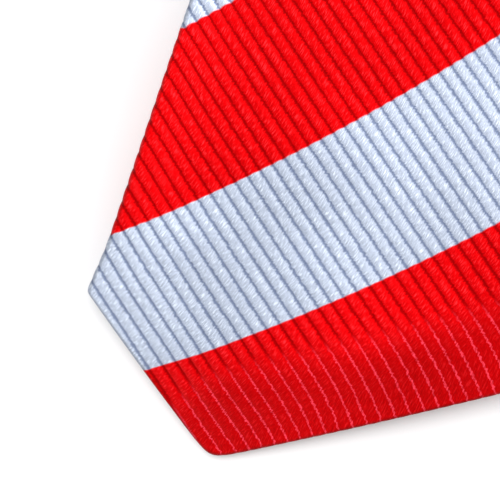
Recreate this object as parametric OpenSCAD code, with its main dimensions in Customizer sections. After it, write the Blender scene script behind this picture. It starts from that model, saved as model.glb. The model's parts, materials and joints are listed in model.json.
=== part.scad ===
// Necktie, folded once at the neck: the blade lies face up on the tail, whose face is down.
// The point of the blade stands clear of the tail in a soft crest and comes down to the table.
// X runs across the tie, +Y from the blade's point to the fold, +Z up. Millimetres.

/* [Overall] */
// Length of the whole tie laid out straight, from point to point
tie_len = 1480; // [1200:10:1800]
// How far the tail's point stops short of the blade's point
tail_short = 60; // [30:5:90]
// Thickness of the folded tie: shell, interlining and shell
tie_t = 4.6; // [3.8:0.1:6]
// Air between the backs of the two layers
layer_gap = 1.5; // [1.2:0.1:3]

/* [Blade] */
// Width across the blade's shoulders
blade_w = 82; // [66:1:99]
// How far the point lies to the left of the middle
point_offset = 9.5; // [0:0.5:11]
// Angle between the tie's length and the left edge of the point
point_left = 49; // [45:1:55]
// Angle between the tie's length and the right edge of the point
point_right = 55.5; // [45:0.5:60]
// Distance from the point to where the blade has narrowed to the neck
blade_taper_len = 640; // [520:10:700]
// Curve of the taper: 1 is straight, more keeps the width longer
taper_power = 1.25; // [1:0.05:1.5]
// Distance from the point to the line where its free end bends
point_len = 115; // [105:1:140]

/* [Crest of the blade] */
// Height of the blade's back above the table at the crest
crest_h = 12.5; // [9:0.5:16]
// Distance from the point to the front of the crest
crest_front = 95; // [80:1:100]
// Distance from the point to the back of the crest
crest_back = 118; // [112:1:130]
// Distance from the point to where the blade lies flat on the tail again
crest_end = 195; // [170:5:230]
// Roundness of the slope down to the point
crest_power = 2.4; // [1.8:0.1:3]
// How far the sides droop below the middle at the crest
side_droop = 1.6; // [0:0.1:3]

/* [Neck and tail] */
// Width of the neck band
neck_w = 34; // [28:1:41]
// Width across the tail's shoulders
tail_w = 42; // [36:1:50]
// Distance from the tail's point to where it has narrowed to the neck
tail_taper_len = 300; // [200:10:400]
// Angle between the tie's length and each edge of the tail's point
tail_point = 48; // [42:1:55]
// Length of neck shell on the blade side of the fold
neck_blade_len = 150; // [100:10:180]
// Length of neck shell on the tail side of the fold
neck_tail_len = 220; // [160:10:260]

/* [Cloth] */
// Thickness of the silk shell
shell_t = 0.6; // [0.4:0.05:0.8]
// Thickness of the lining behind each point
tipping_t = 0.4; // [0.3:0.05:0.6]
// Slack between one ply and the next
ply_gap = 0.05; // [0.03:0.01:0.1]
// How much narrower the interlining is than the shell's inside, on each side
core_ease = 1; // [0.8:0.1:2]
// Width of the hem turned to the back along the point
hem_w = 9; // [6:0.5:12]
// Width of the groove where two lengths of shell are sewn end to end
seam_groove = 0.6; // [0.5:0.05:1]
// Gap between the two flaps at the back seam
seam_gap = 0.4; // [0.2:0.1:1]
// Distance from a point to where its back flaps close
blade_close = 126; // [118:1:140]
// The same on the tail
tail_close = 60; // [45:1:80]
// Angle between the tie's length and the ribs and seams
rib_angle = 49; // [45:1:55]

/* [Keeper loop and labels] */
// Distance from the blade's point to the middle of the keeper loop
loop_at = 214; // [205:1:260]
// Width of the loop's band along the tie
loop_w = 18; // [12:1:24]
// Length of the loop across the tie
loop_span = 56; // [50:1:60]
// Thickness of the loop's band
loop_t = 0.6; // [0.4:0.1:0.8]
// Distance from the blade's point to the middle of the maker's label
brand_at = 262; // [250:1:320]
// Maker's label, across the tie
brand_w = 46; // [30:1:50]
// Maker's label, along the tie
brand_h = 24; // [15:1:30]
// Distance from the tail's point to the middle of the care label
care_at = 110; // [90:1:200]
// Care label, across the tie
care_w = 20; // [14:1:26]
// Care label, along the tie
care_h = 32; // [20:1:40]
// Thickness of both labels
label_t = 0.3; // [0.2:0.05:0.4]

/* [Stitching] */
// Radius of the sewing thread
thread_r = 0.2; // [0.12:0.02:0.25]
// Length of one slip stitch
slip_len = 5; // [3:0.5:7]
// Distance from one slip stitch to the next
slip_pitch = 12; // [8:1:20]
// Length of one lock stitch or hem stitch
lock_len = 2; // [1.5:0.1:3]
// Distance from one lock stitch or hem stitch to the next
lock_pitch = 3; // [2.5:0.1:5]
// Length of a bar tack
tack_len = 9; // [6:0.5:12]

/* [Hidden] */
round_fn = 24;
body_gap = 0.3;                                  // clear space between two bodies that bend apart
half_t = tie_t / 2;
back_rest = tie_t + layer_gap;                   // the blade's back where it lies on the tail
fold_z = tie_t + layer_gap / 2;                  // the fold's axis, halfway between the layers
fold_mid_r = fold_z - half_t;                    // radius of the middle ply round the fold
fold_arc = PI * fold_mid_r;
blade_len = (tie_len - fold_arc + tail_short) / 2;
y_point = -(blade_len + fold_z) / 2;             // the blade's point, so the box is centred on Y
y_fold = y_point + blade_len;
y_tail = y_point + tail_short;
blade_seam = blade_len - neck_blade_len;         // distance of the blade's join seam from its point
tail_seam = blade_len - tail_short - neck_tail_len;
seam_slope = -1 / tan(rib_angle);                // a join seam follows the ribs, turned over on the tail
seam_half = seam_groove / 2 / sin(rib_angle);    // half of its groove, measured along the tie
nose = 2;                                        // where the outermost section stands, from a point
core_back = 14;                                  // how far the interlining stops short of a point
arc_steps = 6;                                   // facets round each rolled edge
face_steps = 8;                                  // facets across the face

function clamp01(t) = min(1, max(0, t));
function mix(a, b, t) = a + (b - a) * t;
function ease(t) = let (c = clamp01(t)) c * c * (3 - 2 * c);

// Outline of the blade at distance s from its point, and of the tail at distance s from its own.
function blade_half(s) =
    mix(blade_w, neck_w, pow(clamp01(s / blade_taper_len), taper_power)) / 2;
function tail_half(s) = mix(tail_w, neck_w, clamp01(s / tail_taper_len)) / 2;

// Height of the blade's back above the table.
function back_z(s) =
    s < crest_front ? crest_h * (1 - pow(1 - clamp01(s / crest_front), crest_power))
    : mix(crest_h, back_rest, ease((s - crest_back) / (crest_end - crest_back)));
function droop(s) = side_droop * clamp01((s - core_back) / (crest_front - core_back))
    * (1 - ease((s - crest_back) / (crest_end - crest_back)));

// A station is [y, z, turn, left, right, flap, slope, droop]: the middle of the thickness, the turn
// of the face round X from +Z, the two sides, the width of each back flap, the skew of the section
// and how far its sides droop.
function blade_station(s, slope = 0) = let (
        left = max(-blade_half(s), -point_offset - s * tan(point_left)),
        right = min(blade_half(s), -point_offset + s * tan(point_right)),
        shut = (right - left) / 2 - seam_gap / 2)
    [y_point + s, back_z(s) + half_t, 0, left, right,
     min(shut, mix(hem_w, shut, ease((s - blade_close / 2) / (blade_close / 2)))), slope, droop(s)];
function tail_station(s, slope = 0) = let (
        half = min(tail_half(s), s * tan(tail_point)),
        shut = half - seam_gap / 2)
    [y_tail + s, half_t, 180, -half, half,
     min(shut, mix(hem_w, shut, ease((s - tail_close / 2) / (tail_close / 2)))), slope, 0];
function fold_station(turn) =
    [y_fold + fold_mid_r * sin(turn), fold_z + fold_mid_r * cos(turn), turn,
     -neck_w / 2, neck_w / 2, neck_w / 2 - seam_gap / 2, 0, 0];

// The point x, n of a station's section: across the tie, and out from the middle towards the face.
function at(st, x, n) =
    [x, st[0] + st[6] * x + n * sin(st[2]), st[1] + n * cos(st[2]) - st[7] * pow(2 * x / blade_w, 2)];

// One ply wrapped round the edges, d inside the outer face: back flap, edge, face, edge, back flap.
function ply(st, d) = let (
        left = st[3], right = st[4],
        r = min(half_t, 0.45 * (right - left)),
        across = max(0.01, r - d), up = half_t - d)
    concat(
        [at(st, left + st[5], -up)],
        [for (i = [0:arc_steps]) let (a = 270 - 180 * i / arc_steps)
            at(st, left + r + across * cos(a), up * sin(a))],
        [for (i = [1:face_steps - 1]) at(st, mix(left + r, right - r, i / face_steps), up)],
        [for (i = [0:arc_steps]) let (a = 90 - 180 * i / arc_steps)
            at(st, right - r + across * cos(a), up * sin(a))],
        [at(st, right - st[5], -up)]);

// A ring's first half runs left to right and its second half runs back below it, so a strip of
// triangles between the two closes it.
function cap(n) = [for (k = [0:n / 2 - 2]) each [
    [k, k + 1, n - 2 - k], [k, n - 2 - k, n - 1 - k]]];

// A solid through rings of points that all have the same count, closed at both ends.
module skin(rings) {
    n = len(rings[0]);
    last = len(rings) - 1;
    points = [for (r = rings) each r];
    sides = [for (i = [0:last - 1], j = [0:n - 1]) let (
            a = i * n + j, b = i * n + (j + 1) % n, c = a + n, d = b + n)
        each [[a, b, d], [a, d, c]]];
    near = [for (f = cap(n)) [f[0], f[2], f[1]]];
    far = [for (f = cap(n)) f + [1, 1, 1] * last * n];
    polyhedron(points = points, faces = concat(sides, near, far), convexity = 6);
}

// The shell: an outer and an inner ply joined along their flap edges and across both ends.
module shell(stations) {
    outer = [for (st = stations) ply(st, 0)];
    inner = [for (st = stations) ply(st, shell_t)];
    m = len(outer[0]);
    count = len(stations);
    k = count * m;
    last = (count - 1) * m;
    points = concat([for (r = outer) each r], [for (r = inner) each r]);
    faces = [for (i = [0:count - 2], j = [0:m - 2]) let (
            a = i * m + j, b = a + 1, c = a + m, d = c + 1)
        each [[a, b, d], [a, d, c], [a + k, d + k, b + k], [a + k, c + k, d + k]]];
    edges = [for (i = [0:count - 2]) let (a = i * m, c = a + m, b = a + m - 1, d = b + m)
        each [[a, c, c + k], [a, c + k, a + k], [b, b + k, d + k], [b, d + k, d]]];
    caps = [for (j = [0:m - 2]) let (e = last + j)
        each [[j, j + k, j + 1 + k], [j, j + 1 + k, j + 1],
              [e, e + 1, e + 1 + k], [e, e + 1 + k, e + k]]];
    polyhedron(points = points, faces = concat(faces, edges, caps), convexity = 8);
}

// The interlining fills the shell, d inside its outer face, and leaves room for the lining.
core_in = shell_t + ply_gap;
core_low = core_in + tipping_t + ply_gap;
function core_ring(st) = let (
        left = st[3] + core_in + core_ease, right = st[4] - core_in - core_ease,
        top = half_t - core_in, low = -half_t + core_low,
        mid = (top + low) / 2, up = (top - low) / 2, r = min(up, 0.45 * (right - left)),
        upper = concat(
            [for (a = [18, 54, 90]) [left + r - r * cos(a), up * sin(a)]],
            [for (i = [1:face_steps - 1]) [mix(left + r, right - r, i / face_steps), up]],
            [for (a = [90, 54, 18]) [right - r + r * cos(a), up * sin(a)]]))
    concat([for (p = upper) at(st, p[0], mid + p[1])],
        [for (i = [len(upper) - 1:-1:0]) at(st, upper[i][0], mid - upper[i][1])]);
module core(stations) { skin([for (st = stations) core_ring(st)]); }

// The lining behind a point lies between the interlining and the flaps.
lining_steps = 12;
function lining_ring(st) = let (
        left = st[3] + half_t, right = st[4] - half_t,
        low = -half_t + core_in, top = low + tipping_t)
    concat(
        [for (t = steps(0, 1, lining_steps)) at(st, mix(left, right, t), top)],
        [for (t = steps(0, 1, lining_steps)) at(st, mix(right, left, t), low)]);
module lining(stations) { skin([for (st = stations) lining_ring(st)]); }

// Lists of distances at which the sections stand.
function steps(from, to, n) = [for (i = [0:n]) mix(from, to, i / n)];
left_shoulder = (blade_w / 2 - point_offset) / tan(point_left);
right_shoulder = (blade_w / 2 + point_offset) / tan(point_right);
near_shoulder = min(left_shoulder, right_shoulder);
far_shoulder = max(left_shoulder, right_shoulder, near_shoulder + 1);
tail_shoulder = tail_w / 2 / tan(tail_point);
point_steps = concat([nose, 4, 8, core_back, near_shoulder, far_shoulder],
    steps(far_shoulder + 6, point_len - body_gap, 8));
crest_steps = steps(point_len, crest_end, 8);
blade_mid_steps = steps(brand_at + brand_h, blade_seam - neck_w, 2);
tail_tip_steps = concat([nose, 4, 8, core_back, tail_shoulder],
    steps(tail_shoulder + 6, tail_close + 10, 5));
tail_mid_steps = [min(tail_taper_len, tail_seam - neck_w - 1), tail_seam - neck_w];
neck_blade_steps = [blade_seam + neck_w, blade_len - body_gap];
neck_tail_steps = [tail_seam + neck_w, blade_len - tail_short - ply_gap];
function beyond(list, s) = [for (t = list) if (t >= s) t];
function backwards(list) = [for (i = [len(list) - 1:-1:0]) list[i]];

module point_shell() {
    color("crimson") shell([for (s = point_steps) blade_station(s)]);
}
module blade_shell() {
    color("lightsteelblue") shell(concat(
        [for (s = concat(crest_steps, blade_mid_steps)) blade_station(s)],
        [blade_station(blade_seam - seam_half, seam_slope)]));
}
module neck_shell_blade_side() {
    color("crimson") shell(concat(
        [blade_station(blade_seam + seam_half, seam_slope)],
        [for (s = neck_blade_steps) blade_station(s)]));
}
module neck_fold_shell() {
    color("crimson") shell([for (i = [0:8]) fold_station(180 * i / 8)]);
}
module neck_shell_tail_side() {
    color("crimson") shell(concat(
        [for (s = backwards(neck_tail_steps)) tail_station(s)],
        [tail_station(tail_seam + seam_half, -seam_slope)]));
}
module tail_shell() {
    color("lightsteelblue") shell(concat(
        [tail_station(tail_seam - seam_half, -seam_slope)],
        [for (s = backwards(concat(tail_tip_steps, tail_mid_steps))) tail_station(s)]));
}

module point_interlining() {
    color("ivory") core([for (s = beyond(point_steps, core_back)) blade_station(s)]);
}
module blade_interlining() {
    color("ivory") core([for (s = concat(crest_steps, blade_mid_steps, neck_blade_steps))
        blade_station(s)]);
}
module neck_fold_interlining() {
    color("ivory") core([for (i = [0:8]) fold_station(180 * i / 8)]);
}
module tail_interlining() {
    color("ivory") core([for (s = backwards(concat(
            beyond(tail_tip_steps, core_back), tail_mid_steps, neck_tail_steps))) tail_station(s)]);
}

module blade_tipping() {
    color("firebrick") lining([for (s = beyond(point_steps, 8)) blade_station(s)]);
}
module tail_tipping() {
    color("firebrick") lining([for (s = backwards(beyond(tail_tip_steps, 8))) tail_station(s)]);
}

// A straight thread between two points.
module thread(a, b) {
    v = b - a;
    translate(a) rotate([0, acos(v[2] / norm(v)), atan2(v[1], v[0])])
        cylinder(h = norm(v), r = thread_r, $fn = round_fn);
}

// Slip stitches cross the back seam at a slant and draw its two flaps together.
slip_slant = slip_len / 2;
module slip_row(y_from, count, z) {
    for (i = [0:count - 1]) let (y = y_from + i * slip_pitch)
        thread([-slip_slant / 2, y, z], [slip_slant / 2, y + slip_len, z]);
}
blade_thread_z = back_rest - thread_r;
tail_thread_z = tie_t + thread_r;
module blade_slip_stitch() {
    start = brand_at + brand_h;
    color("red") slip_row(y_point + start, floor((blade_seam - start) / slip_pitch), blade_thread_z);
}
module tail_slip_stitch() {
    start = care_at + care_h;
    color("red") slip_row(y_tail + start, floor((tail_seam - start) / slip_pitch), tail_thread_z);
}

// A bar tack is a close row of threads laid across the seam where the flaps part.
module bar_tack(y, z) {
    for (i = [-2:2]) let (row = y + i * (2 * thread_r + ply_gap))
        thread([-tack_len / 2, row, z], [tack_len / 2, row, z]);
}
module blade_bar_tack() {
    s = crest_end;
    color("darkred") bar_tack(y_point + s, blade_thread_z);
}
module tail_bar_tack() {
    color("darkred") bar_tack(y_tail + tail_close + hem_w / 4, tail_thread_z);
}

// Lock stitches run along the groove of a join seam, level with the face.
module lock_row(y_seam, half, z, slope) {
    run = 2 * half * norm([1, slope]);
    way = [1, slope, 0] / norm([1, slope]);
    for (i = [0:floor(run / lock_pitch) - 1])
        let (a = [0, y_seam, z] + way * (i * lock_pitch - run / 2 + lock_pitch / 2))
            thread(a, a + way * lock_len);
}
module blade_join_seam() {
    color("red") lock_row(y_point + blade_seam, blade_half(blade_seam) - half_t,
        back_rest + tie_t - thread_r, seam_slope);
}
module tail_join_seam() {
    color("red") lock_row(y_tail + tail_seam, tail_half(tail_seam) - half_t, thread_r, -seam_slope);
}

// Hem stitches hold the turned edge of the shell to the lining along a point.
hem_clear = 0.6;
module hem_side(stations, side) {
    for (i = [0:len(stations) - 2]) let (
            a = stations[i], b = stations[i + 1],
            clear = thread_r + hem_clear, n = -half_t + thread_r,
            xa = side < 0 ? a[3] + a[5] + clear : a[4] - a[5] - clear,
            xb = side < 0 ? b[3] + b[5] + clear : b[4] - b[5] - clear,
            p = at(a, xa, n), q = at(b, xb, n))
        thread(p, p + (q - p) * lock_len / lock_pitch);
}
function hem_stations(s_from, count) =
    [for (i = [0:count]) s_from + i * lock_pitch * cos(point_left)];
module tipping_hem_stitches() {
    rows = [for (s = hem_stations(hem_w * 1.6, 24)) blade_station(s)];
    color("red") { hem_side(rows, -1); hem_side(rows, 1); }
}
module tail_hem_stitches() {
    rows = [for (s = hem_stations(hem_w * 1.6, 10)) tail_station(s)];
    color("red") { hem_side(rows, -1); hem_side(rows, 1); }
}

// The keeper loop is a flat band across the blade's back, sewn down at both ends and slack between.
loop_slack = 0.3;
loop_end = 6;
loop_ease = 2;
module keeper_loop() {
    top = back_rest;
    low = top - loop_slack - loop_t;
    half = loop_span / 2;
    color("crimson") translate([0, y_point + loop_at + loop_w / 2, 0]) rotate([90, 0, 0])
        linear_extrude(loop_w) polygon([
            [-half, top], [-half + loop_end, top], [-half + loop_end + loop_ease, low + loop_t],
            [half - loop_end - loop_ease, low + loop_t], [half - loop_end, top], [half, top],
            [half, top - loop_t], [half - loop_end, top - loop_t], [half - loop_end - loop_ease, low],
            [-half + loop_end + loop_ease, low], [-half + loop_end, top - loop_t],
            [-half, top - loop_t]]);
}
module keeper_loop_stitches() {
    z = back_rest - loop_t - thread_r;
    color("red") for (side = [-1, 1], i = [0:3])
        let (x = side * (loop_span / 2 - loop_end / 3), y = y_point + loop_at - loop_w / 2 + 3 + i * 3.5)
            thread([x, y, z], [x, y + lock_len, z]);
}

// A blank woven label, sewn down along both of its short ends.
module label(y, z, w, h) {
    translate([-w / 2, y - h / 2, z]) cube([w, h, label_t]);
}
module label_ends(y, z, w, h) {
    inset = 1.2;
    for (side = [-1, 1], i = [0:floor((h - 2 * inset) / lock_pitch) - 1])
        let (x = side * (w / 2 - inset), a = y - h / 2 + inset + i * lock_pitch)
            thread([x, a, z], [x, a + lock_len, z]);
}
module brand_label() {
    color("white") label(y_point + brand_at, back_rest - label_t, brand_w, brand_h);
}
module brand_label_stitches() {
    color("red") label_ends(y_point + brand_at, back_rest - label_t - thread_r, brand_w, brand_h);
}
module care_label() {
    color("white") label(y_tail + care_at, tie_t, care_w, care_h);
}
module care_label_stitches() {
    color("red") label_ends(y_tail + care_at, tie_t + label_t + thread_r, care_w, care_h);
}

point_shell();
point_interlining();
blade_tipping();
tipping_hem_stitches();
blade_shell();
blade_interlining();
blade_slip_stitch();
blade_bar_tack();
blade_join_seam();
neck_shell_blade_side();
keeper_loop();
keeper_loop_stitches();
brand_label();
brand_label_stitches();
neck_fold_shell();
neck_fold_interlining();
neck_shell_tail_side();
tail_join_seam();
tail_shell();
tail_interlining();
tail_tipping();
tail_hem_stitches();
tail_slip_stitch();
tail_bar_tack();
care_label();
care_label_stitches();
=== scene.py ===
"""A silk necktie in broad block stripes, folded once at the neck and laid face up on its tail.

Shapes are worked out on the straight tie, in millimetres: x across, s along it from the blade's
point and n out from the middle of its thickness towards the face. fold_up() then lays them down.
"""

import json
import math

import bmesh
import bpy
import numpy as np
from mathutils import Matrix, Vector


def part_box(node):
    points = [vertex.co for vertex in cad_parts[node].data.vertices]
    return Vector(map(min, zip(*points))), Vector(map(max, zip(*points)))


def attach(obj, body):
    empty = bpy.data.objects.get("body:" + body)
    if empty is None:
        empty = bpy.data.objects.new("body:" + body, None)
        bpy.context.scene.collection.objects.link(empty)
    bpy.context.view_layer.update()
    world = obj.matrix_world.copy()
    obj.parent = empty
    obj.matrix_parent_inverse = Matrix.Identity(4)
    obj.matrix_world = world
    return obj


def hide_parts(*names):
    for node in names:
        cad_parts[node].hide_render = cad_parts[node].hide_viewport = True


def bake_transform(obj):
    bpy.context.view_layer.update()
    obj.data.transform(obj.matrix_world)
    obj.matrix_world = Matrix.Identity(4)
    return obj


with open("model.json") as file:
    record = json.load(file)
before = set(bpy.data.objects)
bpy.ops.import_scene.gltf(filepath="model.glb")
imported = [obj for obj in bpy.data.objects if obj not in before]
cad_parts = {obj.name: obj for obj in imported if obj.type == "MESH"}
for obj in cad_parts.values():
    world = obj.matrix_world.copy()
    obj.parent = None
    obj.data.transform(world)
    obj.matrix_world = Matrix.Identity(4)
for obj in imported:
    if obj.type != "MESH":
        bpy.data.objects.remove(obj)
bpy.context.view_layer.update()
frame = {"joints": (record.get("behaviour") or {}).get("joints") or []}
joint = {j["name"]: j for j in frame["joints"]}

# ---------------------------------------------------------------- sizes, in millimetres
MM = 0.001
TIE_LEN = 1480.0
HALF_T = 2.3  # half the thickness of the folded tie
BACK_REST = 6.1  # the blade's back where it lies on the tail
NOSE = 2.0
FOLD_Y, FOLD_Z = (v / MM for v in joint["neck_fold"]["pos_m"][1:])
FOLD_R = FOLD_Z - HALF_T
FOLD_ARC = math.pi * FOLD_R
# the fold is shorter, but a sheet is declared no smaller
LEAST_FLAT = 0.0101  # in metres: the fold is shorter, but its flat length is taken as no smaller
POINT_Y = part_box("point_shell")[0].y / MM - NOSE
BLADE_LEN = FOLD_Y - POINT_Y

BLADE_W, NECK_W, TAIL_W = 82.0, 34.0, 42.0
BLADE_TAPER, TAPER_POWER = 640.0, 1.25
TAIL_TAPER = 300.0
POINT_OFFSET, POINT_LEFT, POINT_RIGHT = 9.5, 49.0, 55.5
TAIL_ANGLE = 48.0
CREST_H, CREST_FRONT, CREST_BACK, CREST_END, CREST_POWER = 12.5, 95.0, 118.0, 195.0, 2.4
SIDE_DROOP = 1.6
BLADE_SEAM, TAIL_SEAM = 615.2, 485.2  # from the blade's point and from the tail's
HEM = 9.0
TAIL_SHORT = 60.0  # how far the tail stops short of the blade
BLADE_CLOSE, TAIL_CLOSE = 126.0, 60.0  # where the back flaps meet
LOOP_AT, LOOP_W, LOOP_SPAN = 214.0, 18.0, 56.0
BRAND_AT, BRAND_W, BRAND_H = 262.0, 46.0, 24.0
CARE_AT, CARE_W, CARE_H = 110.0, 20.0, 32.0
CARE_Y = POINT_Y + TAIL_SHORT + CARE_AT
THREAD_R = 0.2
STITCH_PITCH, STITCH_LEN, JOIN_STITCH_LEN = 3.0, 2.0, 2.2
SLIP_PITCH, SLIP_LEN, SLIP_SLANT = 12.0, 5.0, 0.5
TACK_PITCH, TACK_LEN = 0.44, 9.0

RIB_PITCH = 2.746
RIB_HEIGHT = 0.6
PLUMPNESS = 0.6  # below 1 the ribs are broad with narrow valleys
CROWN_MIDDLE = 0.55  # the share of a rib's height that stays where the cloth was
STRIPE_W = 29.18
RIB_TURN = math.radians(41)  # how far the ribs run down to the right
RIB_SLOPE = math.tan(RIB_TURN)
CORNER, TIP_CORNER = 0.25, 1.4  # softness of the outline at a shoulder and at the very point
SHOULDER_FLARE = 0.8  # how far the cloth stands out at the blade's shoulders
ROLL_SIDE, ROLL_HEM = 1.3, 0.7  # width of the rolled edge along the sides and along a hem
SIDE_HALF = 1.3  # half the thickness at a rolled side
SIDE_RISE = 10.0  # how far in from a side the tie reaches its full thickness
HEM_HALF = 0.7  # half the thickness of the hem right at its edge
HEM_RISE = 15.0  # how far in the hem reaches the tie's full thickness


# ---------------------------------------------------------------- the shape of the tie
def ease(t):
    t = np.clip(t, 0, 1)
    return t * t * (3 - 2 * t)


def blade_half(s):
    flare = SHOULDER_FLARE * np.exp(-(((s - 27) / 8) ** 2))
    return (BLADE_W + (NECK_W - BLADE_W) * np.clip(s / BLADE_TAPER, 0, 1) ** TAPER_POWER) / 2 + flare


def tail_half(s):
    return (TAIL_W + (NECK_W - TAIL_W) * np.clip(s / TAIL_TAPER, 0, 1)) / 2


def neck_half(s):
    tail_s = TIE_LEN - s
    return np.where(s < BLADE_LEN + FOLD_ARC / 2, blade_half(s), tail_half(tail_s))


def back_height(s):
    front = CREST_H * (1 - (1 - np.clip(s / CREST_FRONT, 0, 1)) ** CREST_POWER)
    behind = CREST_H + (BACK_REST - CREST_H) * ease((s - CREST_BACK) / (CREST_END - CREST_BACK))
    return np.where(s < CREST_FRONT, front, behind)


def droop(x, s):
    fade = 1 - ease((s - CREST_BACK) / (CREST_END - CREST_BACK))
    return SIDE_DROOP * np.clip(s / CREST_FRONT, 0, 1) * fade * (2 * x / BLADE_W) ** 2


def fold_up(points):
    """Lays points x, s, n of the straight tie on the table, folded at the neck, in metres."""
    x, s, n = np.asarray(points, float).T
    turn = np.clip((s - BLADE_LEN) / FOLD_R, 0, math.pi)
    past = s - BLADE_LEN - FOLD_ARC
    y = np.where(past > 0, FOLD_Y - past, FOLD_Y + (FOLD_R + n) * np.sin(turn))
    z = np.where(past > 0, HALF_T - n, FOLD_Z + (FOLD_R + n) * np.cos(turn))
    on_blade = s < BLADE_LEN
    y = np.where(on_blade, POINT_Y + s, y)
    z = np.where(on_blade, back_height(s) + HALF_T - droop(x, s) + n, z)
    return np.stack([x, y, z], -1) * MM


def soft_min(values, softness):
    """The smallest of several values, with a soft change from one to another."""
    least = np.minimum.reduce(values)
    return least - softness * np.log(sum(np.exp(-np.minimum(v - least, 60) / softness) for v in values))


class Panel:
    """One length of cloth, in its own plan: x across, s from its point or its lower seam."""

    def __init__(self, half, offset=0.0, left=None, right=None, close=0.0):
        self.half, self.offset, self.close = half, offset, close
        self.left = math.radians(left) if left else None
        self.right = math.radians(right) if right else None

    def edges(self, x, s):
        """How far inside each edge a place is: left side, right side, left and right of the point."""
        half = self.half(s)
        if self.left is None:
            far = np.full(np.shape(x), 60.0)
            return x + half, half - x, far, far
        a, b, x1 = self.left, self.right, x + self.offset
        return (x + half, half - x, x1 * math.cos(a) + s * math.sin(a),
                -x1 * math.cos(b) + s * math.sin(b))

    def inside(self, x, s):
        """Distance inside the outline, with its corners softened."""
        sl, sr, tl, tr = self.edges(x, s)
        return soft_min([sl, sr, soft_min([tl, tr], TIP_CORNER)], CORNER)

    def half_thickness(self, x, s):
        sl, sr, tl, tr = self.edges(x, s)
        f = np.maximum(self.inside(x, s), 0)
        side = SIDE_HALF * np.sqrt(1 - (1 - np.clip(f / ROLL_SIDE, 0, 1)) ** 2)
        side = side + (HALF_T - SIDE_HALF) * ease(f / SIDE_RISE)
        rolled = HEM_HALF * np.sqrt(1 - (1 - np.clip(f / ROLL_HEM, 0, 1)) ** 2)
        hem = rolled + (HALF_T - HEM_HALF) * ease(f / HEM_RISE)
        w = 1 / (1 + np.exp(-np.clip(np.minimum(sl, sr) - np.minimum(tl, tr), -60, 60) / 3))
        return side * (1 - w) + hem * w

    def flap(self, s):
        """Width of each flap turned to the back."""
        shut = self.half(s) - 0.2
        if self.left is None:
            return shut
        return np.minimum(shut, HEM + (shut - HEM) * ease((s - self.close / 2) / (self.close / 2)))


BLADE = Panel(blade_half, POINT_OFFSET, POINT_LEFT, POINT_RIGHT, BLADE_CLOSE)
TAIL = Panel(tail_half, 0, TAIL_ANGLE, TAIL_ANGLE, TAIL_CLOSE)
NECK = Panel(neck_half)


# How a place on the cloth lies once its edge is turned to the back.
def as_cut(_, x, s):
    return x, s


def over_side(side):
    return lambda panel, x, s: (side * 2 * panel.half(s) - x, s)


def over_hem(side):
    def turned(panel, x, s):
        angle = panel.left if side < 0 else panel.right
        depth = panel.edges(x, s)[2 if side < 0 else 3]
        return x + 2 * depth * side * math.cos(angle), s - 2 * depth * math.sin(angle)
    return turned


# Which places belong to each part, as a depth that is above zero inside it.
def on_face(panel, x, s):
    return np.minimum.reduce([panel.inside(x, s), *panel.edges(x, s)])


def on_flap(side):
    def depth(panel, x, s):
        sl, sr, tl, tr = panel.edges(x, s)
        own = sl if side < 0 else sr
        return np.minimum.reduce([panel.inside(x, s), panel.flap(s) - own, tl - own, tr - own])
    return depth


def on_hem(side):
    def depth(panel, x, s):
        sl, sr, tl, tr = panel.edges(x, s)
        own, other = (tl, tr) if side < 0 else (tr, tl)
        return np.minimum.reduce([panel.inside(x, s), HEM - own, sl - own, sr - own, other - own])
    return depth


EDGE_STEPS = np.array([0, 0.03, 0.11, 0.28, 0.55, 0.9, 1.4, 2.6, 4.6]) / math.cos(RIB_TURN)
RAW_STEPS = np.array([0, 0.3, 0.6, 1.2])
REACH = 92.0  # how far to each side a line is searched


def row_ends(panel, starts, fold, depth):
    """For each line along the ribs, given by its s on the middle, where it enters and leaves a part."""
    x = np.linspace(-REACH, REACH, 737)
    grid_x, grid_s = np.broadcast_arrays(x[None], starts[:, None] - RIB_SLOPE * x[None])
    ok = depth(panel, *fold(panel, grid_x, grid_s)) > 0
    found = ok.any(1)
    first, last = ok.argmax(1), len(x) - 1 - ok[:, ::-1].argmax(1)

    def refine(outside, inside):
        for _ in range(24):
            mid = (outside + inside) / 2
            hit = depth(panel, *fold(panel, mid, starts - RIB_SLOPE * mid)) > 0
            inside, outside = np.where(hit, mid, inside), np.where(hit, outside, mid)
        return inside

    low = refine(x[np.maximum(first - 1, 0)], x[first])
    high = refine(x[np.minimum(last + 1, len(x) - 1)], x[last])
    return found, low, high


def along_rows(low, high, near, far, middle):
    """Stations along each line: close together at its two ends, even between."""
    span = (high - low)[:, None]
    near_in = near[None] * np.minimum(1, 0.42 * span / near[-1])
    far_in = far[None] * np.minimum(1, 0.42 * span / far[-1])
    t = np.linspace(0, 1, middle + 2)[None, 1:-1]
    a, b = low[:, None] + near_in[:, -1:], high[:, None] - far_in[:, -1:]
    return np.hstack([low[:, None] + near_in, a + (b - a) * t, (high[:, None] - far_in)[:, ::-1]])


def part(panel, starts, fold, depth, near, far, middle, back, seams=()):
    """One part of a panel as rows of points x, s, n with their places on the flat cloth."""
    found, low, high = row_ends(panel, starts, fold, depth)
    found &= high - low > 0.05
    starts, low, high = starts[found], low[found], high[found]
    cx = along_rows(low, high, near, far, middle)
    cs = starts[:, None] - RIB_SLOPE * cx
    x, s = fold(panel, cx, cs)
    n = panel.half_thickness(x, s)
    for seam in seams:
        n = n * (1 - 0.3 * np.exp(-(((cs + RIB_SLOPE * cx - seam) / 0.7) ** 2)))
    if back:
        n = -n + 0.5 * (1 - np.clip(depth(panel, x, s) / 0.7, 0, 1)) ** 2 * (panel.inside(x, s) > 1.5)
    return {"points": np.stack([x, s, n], -1), "cloth": np.stack([cx, cs], -1), "rows": starts}


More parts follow.
